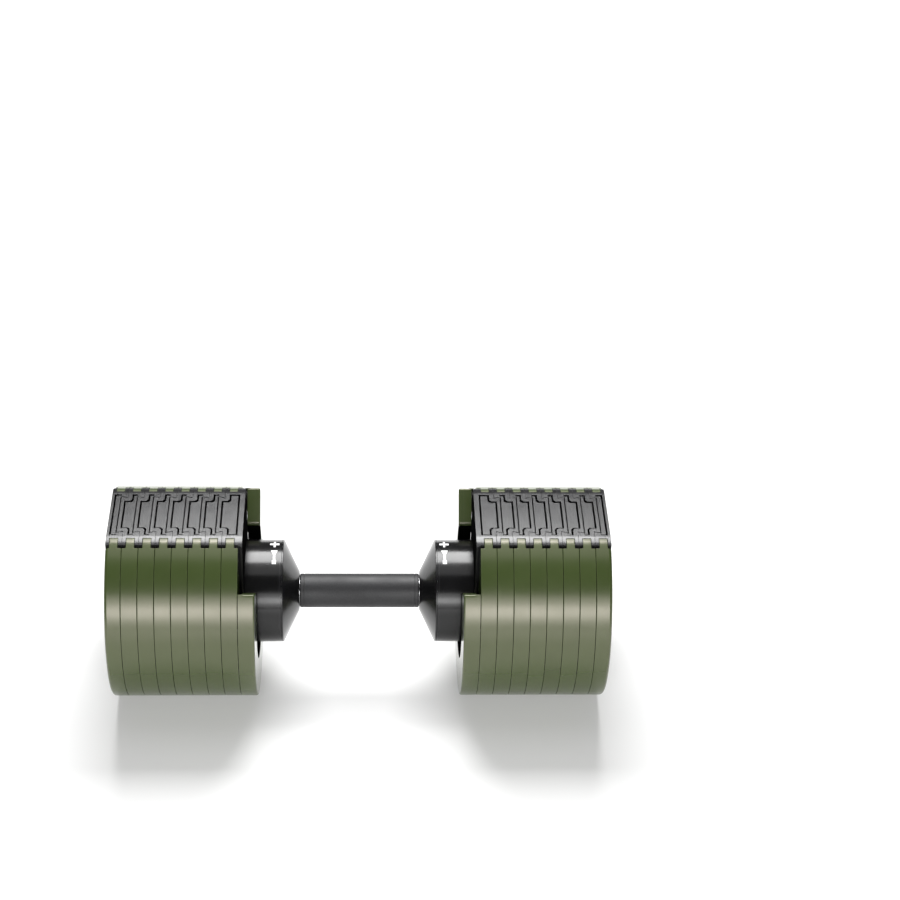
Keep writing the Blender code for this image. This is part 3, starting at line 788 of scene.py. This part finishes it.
def floor_paper():
    """Pale paper that glows: faintly near the dumbbell, a painted light that lifts its shadows, and more with
    distance, so that it fades into a white backdrop.
    """
    n = Nodes("pale_floor")
    cloud = n.ranged(n.noise(1.5, 2), 0.0, 1.0)
    n.base(n.mixed(cloud, (0.86, 0.86, 0.86), (0.88, 0.88, 0.88)), n.ranged(cloud, 0.85, 0.9))
    n.fixed(Specular_IOR_Level=0.1, Emission_Color=(1.0, 1.0, 1.0, 1.0))
    length = n.add("ShaderNodeVectorMath", operation="LENGTH")
    n.link(n.add("ShaderNodeTexCoord").outputs["Object"], length.inputs[0])
    n.link(n.ranged(length.outputs["Value"], 0.15, 1.0, 0.35, 0.9), n.shader.inputs["Emission Strength"])
    return n.material


# Placing.


def two_tone(mesh, main, second, is_second):
    """The mesh in its main material, with the second one where is_second holds at a face's centre."""
    mesh.materials.append(main)
    mesh.materials.append(second)
    for polygon in mesh.polygons:
        polygon.material_index = int(is_second(polygon.center))
    return mesh


def in_shaded_line_or_rail(point):
    """Whether a point of a hook insert is in the line round its panel or on the rail's inner face, where
    black painted shade goes.
    """
    depth = TOP_FLAT - point.z
    in_line = 1 * MM < depth < MOAT_DEPTH + 1 * MM and abs(point.y) < PANEL_HALF + 0.5 * MM
    return in_line or point.x < -0.95 * RAIL_DEPTH


# The crescent's bore, which gets the black painted shade.
def on_shaded_bore(point):
    return abs(math.hypot(point.y, point.z) - CRESCENT_BORE) < CRESCENT_ROUND / 2


def piece(name, mesh, material, body, replaced=(), x=0.0, turn=0.0):
    """One visible piece, moved x along the handle and then turned about Z. A mesh keeps its own materials."""
    obj = bpy.data.objects.new(name, mesh)
    bpy.context.scene.collection.objects.link(obj)
    if not mesh.materials:
        mesh.materials.append(material)
    centre = Vector((x, 0, 0))
    centre.rotate(Matrix.Rotation(turn, 3, "Z"))
    obj.location = (centre.x, centre.y, AXIS_Z)
    obj.rotation_euler.z = turn
    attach(obj, body)
    if replaced:
        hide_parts(*replaced)
    return obj


def build_plates(paint, nylon, painted_shade):
    """Eight plates a side, each with its hook insert. The last plate has a rounder outer rim."""
    plates = {False: plate_mesh(EDGE_ROUND), True: plate_mesh(END_ROUND)}
    inserts = {kind: insert_mesh(kind) for kind in ("first", "middle", "last")}
    for mesh in inserts.values():
        # The line round each panel and the rail's inner face get the black painted shade.
        two_tone(mesh, nylon, painted_shade, in_shaded_line_or_rail)
    for side, turn in SIDES.items():
        for number in range(1, PLATE_COUNT + 1):
            x = PLATE_X + (number - 1) * PLATE_PITCH
            last = number == PLATE_COUNT
            node = f"{side}_weight_plate_{number}"
            piece(f"{node}_finish", plates[last], paint, "frame", [node], x, turn)
            kind = "first" if number == 1 else "last" if last else "middle"
            node = f"{side}_hook_insert_{number}"
            piece(f"{node}_finish", inserts[kind], nylon, "frame", [node], x, turn)


def build_handle(paint, shell, steel, white, painted_shade):
    """The crescents, housings, collars, locks and grip, and the two marks on each housing."""
    meshes = {
        "housing": (housing_mesh(), shell, "black_nylon"),
        "cone_flange": (cone_mesh(), shell, "black_nylon"),
        "lock_plunger": (lock_plunger_mesh(), steel, "bright_steel"),
    }
    # Both marks start behind the top of the housing and are read from the front, in degrees.
    plus = steps_between(-20.5, -15.6, PLUS_STROKE_HALF, 4)
    plus += steps_between(-15.59, -11.4, PLUS_HALF, 3)
    plus += steps_between(-11.39, -6.8, PLUS_STROKE_HALF, 4)
    pointer = [(-0.5 + 1.2 * i, POINTER_HALF - POINTER_TAPER * i) for i in range(7)]
    pointer += steps_between(6.71, 14.5, POINTER_STEM_HALF, 6)
    pointer += steps_between(14.51, 19.5, POINTER_FOOT_HALF, 4)
    mark_rows = {"plus_mark": plus, "arrow_mark": pointer}
    for side, turn in SIDES.items():
        # Each crescent's bore gets the black painted shade.
        crescent = two_tone(crescent_mesh(math.cos(turn)), paint, painted_shade, on_shaded_bore)
        node = f"{side}_crescent_plate"
        piece(f"{node}_finish", crescent, paint, "frame", [node], 0.0, turn)
        for key, (mesh, material, slot) in meshes.items():
            node = f"{side}_{key}"
            body = f"{side}_lock" if key == "lock_plunger" else "frame"
            piece(f"{node}_finish", mesh, material, body, [node], 0.0, turn)
        mark_x = math.cos(turn) * (HOUSING_LOW.x + MARK_INSET)
        for key, rows in mark_rows.items():
            piece(f"{side}_{key}", mark_mesh(mark_x, rows), white, "frame")
    piece("grip_sleeve_finish", grip_mesh(), grip_coating(), "grip", ["grip_sleeve"])


def build_springs():
    """The CAD model's springs, each copied with a drawn wire finish and hung on the frame."""
    wire = metal("drawn_spring_wire", (0.30, 0.30, 0.31), (0.42, 0.42, 0.43), 0.36, (1, 1, 0.2))
    for side in SIDES:
        for key, motion in (("lock_spring", "lock_press"), ("detent_spring", "detent_lift")):
            node = NODES[f"{side}_{key}"]
            mesh = node.data.copy()
            mesh.materials.clear()
            mesh.materials.append(wire)
            obj = bpy.data.objects.new(f"{node.name}_finish", mesh)
            obj.matrix_world = node.matrix_world
            bpy.context.scene.collection.objects.link(obj)
            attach(obj, "frame")
            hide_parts(node.name)
            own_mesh(obj)


def dress_inner_works(shell, steel):
    """New finishes for the CAD nodes that keep their shape."""
    zinc = metal("zinc_plate", (0.50, 0.50, 0.49), (0.62, 0.62, 0.60), 0.34, (1, 1, 1))
    bronze = metal("sintered_bronze", (0.36, 0.24, 0.11), (0.46, 0.31, 0.15), 0.45, (1, 1, 1))
    finishes = {
        "hub_cover": shell,
        "bush": bronze,
        "index_disc": zinc,
        "front_screw": zinc,
        "rear_screw": zinc,
        "detent_plunger": steel,
        "selector_bar": steel,
    }
    dressed = {f"{side}_{key}": finish for side in SIDES for key, finish in finishes.items()}
    dressed["drive_tube"] = steel
    for name, material in dressed.items():
        NODES[name].data.materials.clear()
        NODES[name].data.materials.append(material)


# The studio.


def studio_light(name, tilt, distance, size, radiance):
    """A softbox that faces the handle's middle, tilt degrees from overhead towards the back."""
    data = bpy.data.lights.new(name, "AREA")
    data.shape = "RECTANGLE"
    data.size, data.size_y = size
    data.energy = radiance * math.pi * size[0] * size[1]
    obj = bpy.data.objects.new(name, data)
    angle = math.radians(tilt)
    obj.location = (0, distance * math.sin(angle), AXIS_Z + distance * math.cos(angle))
    obj.rotation_euler = (-angle, 0, 0)
    obj.visible_camera = False
    bpy.context.scene.collection.objects.link(obj)


def build_studio():
    """A floor that fades to white, softboxes, and a world that is dim except to the camera."""
    bm = bmesh.new()
    bmesh.ops.create_grid(bm, x_segments=4, y_segments=4, size=FLOOR_HALF)
    floor = bpy.data.objects.new("floor", mesh_of(bm))
    floor.data.materials.append(floor_paper())
    bpy.context.scene.collection.objects.link(floor)
    for name, setting in LIGHTS.items():
        studio_light(name, *setting)
    world = bpy.data.worlds.new("studio")
    world.use_nodes = True
    nodes = world.node_tree.nodes
    background = nodes["Background"]
    background.inputs["Color"].default_value = (1, 1, 1, 1)
    path = nodes.new("ShaderNodeLightPath")
    strength = nodes.new("ShaderNodeMapRange")
    strength.inputs["To Min"].default_value = WORLD_STRENGTH
    strength.inputs["To Max"].default_value = BACKDROP_STRENGTH
    world.node_tree.links.new(path.outputs["Is Camera Ray"], strength.inputs["Value"])
    world.node_tree.links.new(strength.outputs["Result"], background.inputs["Strength"])
    bpy.context.scene.world = world
    bpy.context.scene.view_settings.view_transform = "Standard"


def build_camera():
    """In front of the dumbbell and above it, aimed a little to the right of its middle and above it."""
    elevation = CAMERA_ELEVATION
    distance = CAMERA_DISTANCE
    data = bpy.data.cameras.new("camera")
    data.lens = CAMERA_LENS
    data.clip_end = 50
    camera = bpy.data.objects.new("camera", data)
    place = Vector((0, -distance * math.cos(elevation), AXIS_Z + distance * math.sin(elevation)))
    turn = Matrix.Rotation(math.pi / 2 - elevation, 4, "X")
    turn = turn @ Matrix.Rotation(-CAMERA_TURN_RIGHT, 4, "Y")
    turn = turn @ Matrix.Rotation(CAMERA_TURN_UP, 4, "X")
    camera.matrix_world = Matrix.Translation(place) @ turn
    bpy.context.scene.collection.objects.link(camera)
    bpy.context.scene.camera = camera


def main():
    build_camera()
    build_studio()
    paint = green_paint()
    shell = shell_nylon()
    steel = metal("machined_steel", (0.46, 0.46, 0.47), (0.58, 0.58, 0.59), 0.28, (0.05, 1, 1))
    # Black painted shade for the crescents' bores, the rails' inner faces and the lines round the panels.
    painted_shade = painted_shade_lining()
    build_plates(paint, insert_nylon(), painted_shade)
    build_handle(paint, shell, steel, mark_paint(), painted_shade)
    build_springs()
    dress_inner_works(shell, steel)


main()
bpy.context.view_layer.update()
